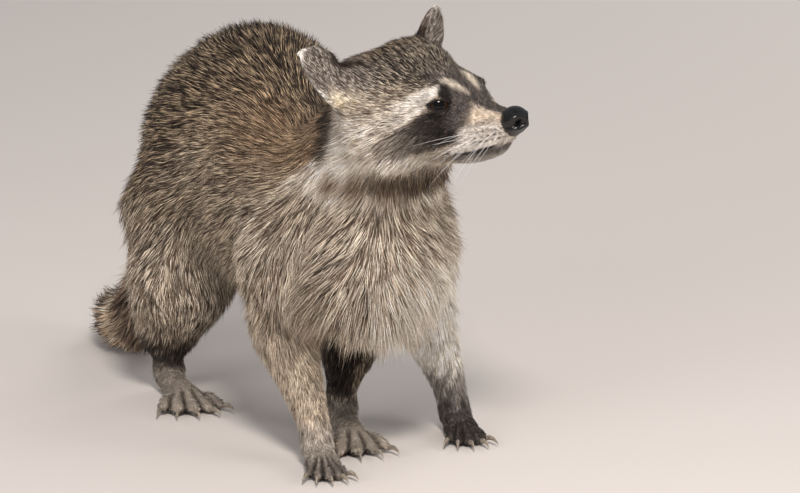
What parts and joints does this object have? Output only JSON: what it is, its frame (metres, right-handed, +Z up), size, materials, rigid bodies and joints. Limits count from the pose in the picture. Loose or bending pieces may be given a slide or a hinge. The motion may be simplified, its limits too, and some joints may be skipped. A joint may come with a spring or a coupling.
{
  "type": "raccoon, still life-size animal model",
  "caption": "Still, life-size raccoon in mid-stride, head raised and turned to its left, with masked face, cupped ears, bushy ringed tail and clawed paws.",
  "frame": {"origin": "on the floor, under the middle of the model's bounding box", "axes": "+X out of the chest, the way the raccoon walks, +Y to its left, +Z up"},
  "size_m": [0.5404, 0.203, 0.3102],
  "materials": {
    "coat": "grizzled grey-brown fur with cream ticking, a black mask, cream brows, muzzle, chest and legs, and a ringed tail",
    "nose_skin": "moist, finely pebbled black nose leather",
    "eye": "wet, very dark brown eye",
    "claw_horn": "dull horn, paler to the tip"
  },
  "bodies": {
    "root": {"ear_left": "coat", "ear_right": "coat", "eye_left": "eye", "eye_right": "eye", "fore_left_claw_1": "claw_horn", "fore_left_claw_2": "claw_horn", "fore_left_claw_3": "claw_horn", "fore_left_claw_4": "claw_horn", "fore_left_claw_5": "claw_horn", "fore_left_lower": "coat", "fore_left_paw": "coat", "fore_left_upper": "coat", "fore_right_claw_1": "claw_horn", "fore_right_claw_2": "claw_horn", "fore_right_claw_3": "claw_horn", "fore_right_claw_4": "claw_horn", "fore_right_claw_5": "claw_horn", "fore_right_lower": "coat", "fore_right_paw": "coat", "fore_right_upper": "coat", "head": "coat", "hind_left_claw_1": "claw_horn", "hind_left_claw_2": "claw_horn", "hind_left_claw_3": "claw_horn", "hind_left_claw_4": "claw_horn", "hind_left_claw_5": "claw_horn", "hind_left_lower": "coat", "hind_left_paw": "coat", "hind_left_upper": "coat", "hind_right_claw_1": "claw_horn", "hind_right_claw_2": "claw_horn", "hind_right_claw_3": "claw_horn", "hind_right_claw_4": "claw_horn", "hind_right_claw_5": "claw_horn", "hind_right_lower": "coat", "hind_right_paw": "coat", "hind_right_upper": "coat", "jaw": "coat", "neck": "coat", "nose": "nose_skin", "tail_1": "coat", "tail_2": "coat", "tail_3": "coat", "tail_4": "coat", "trunk": "coat"}
  },
  "joints": []
}
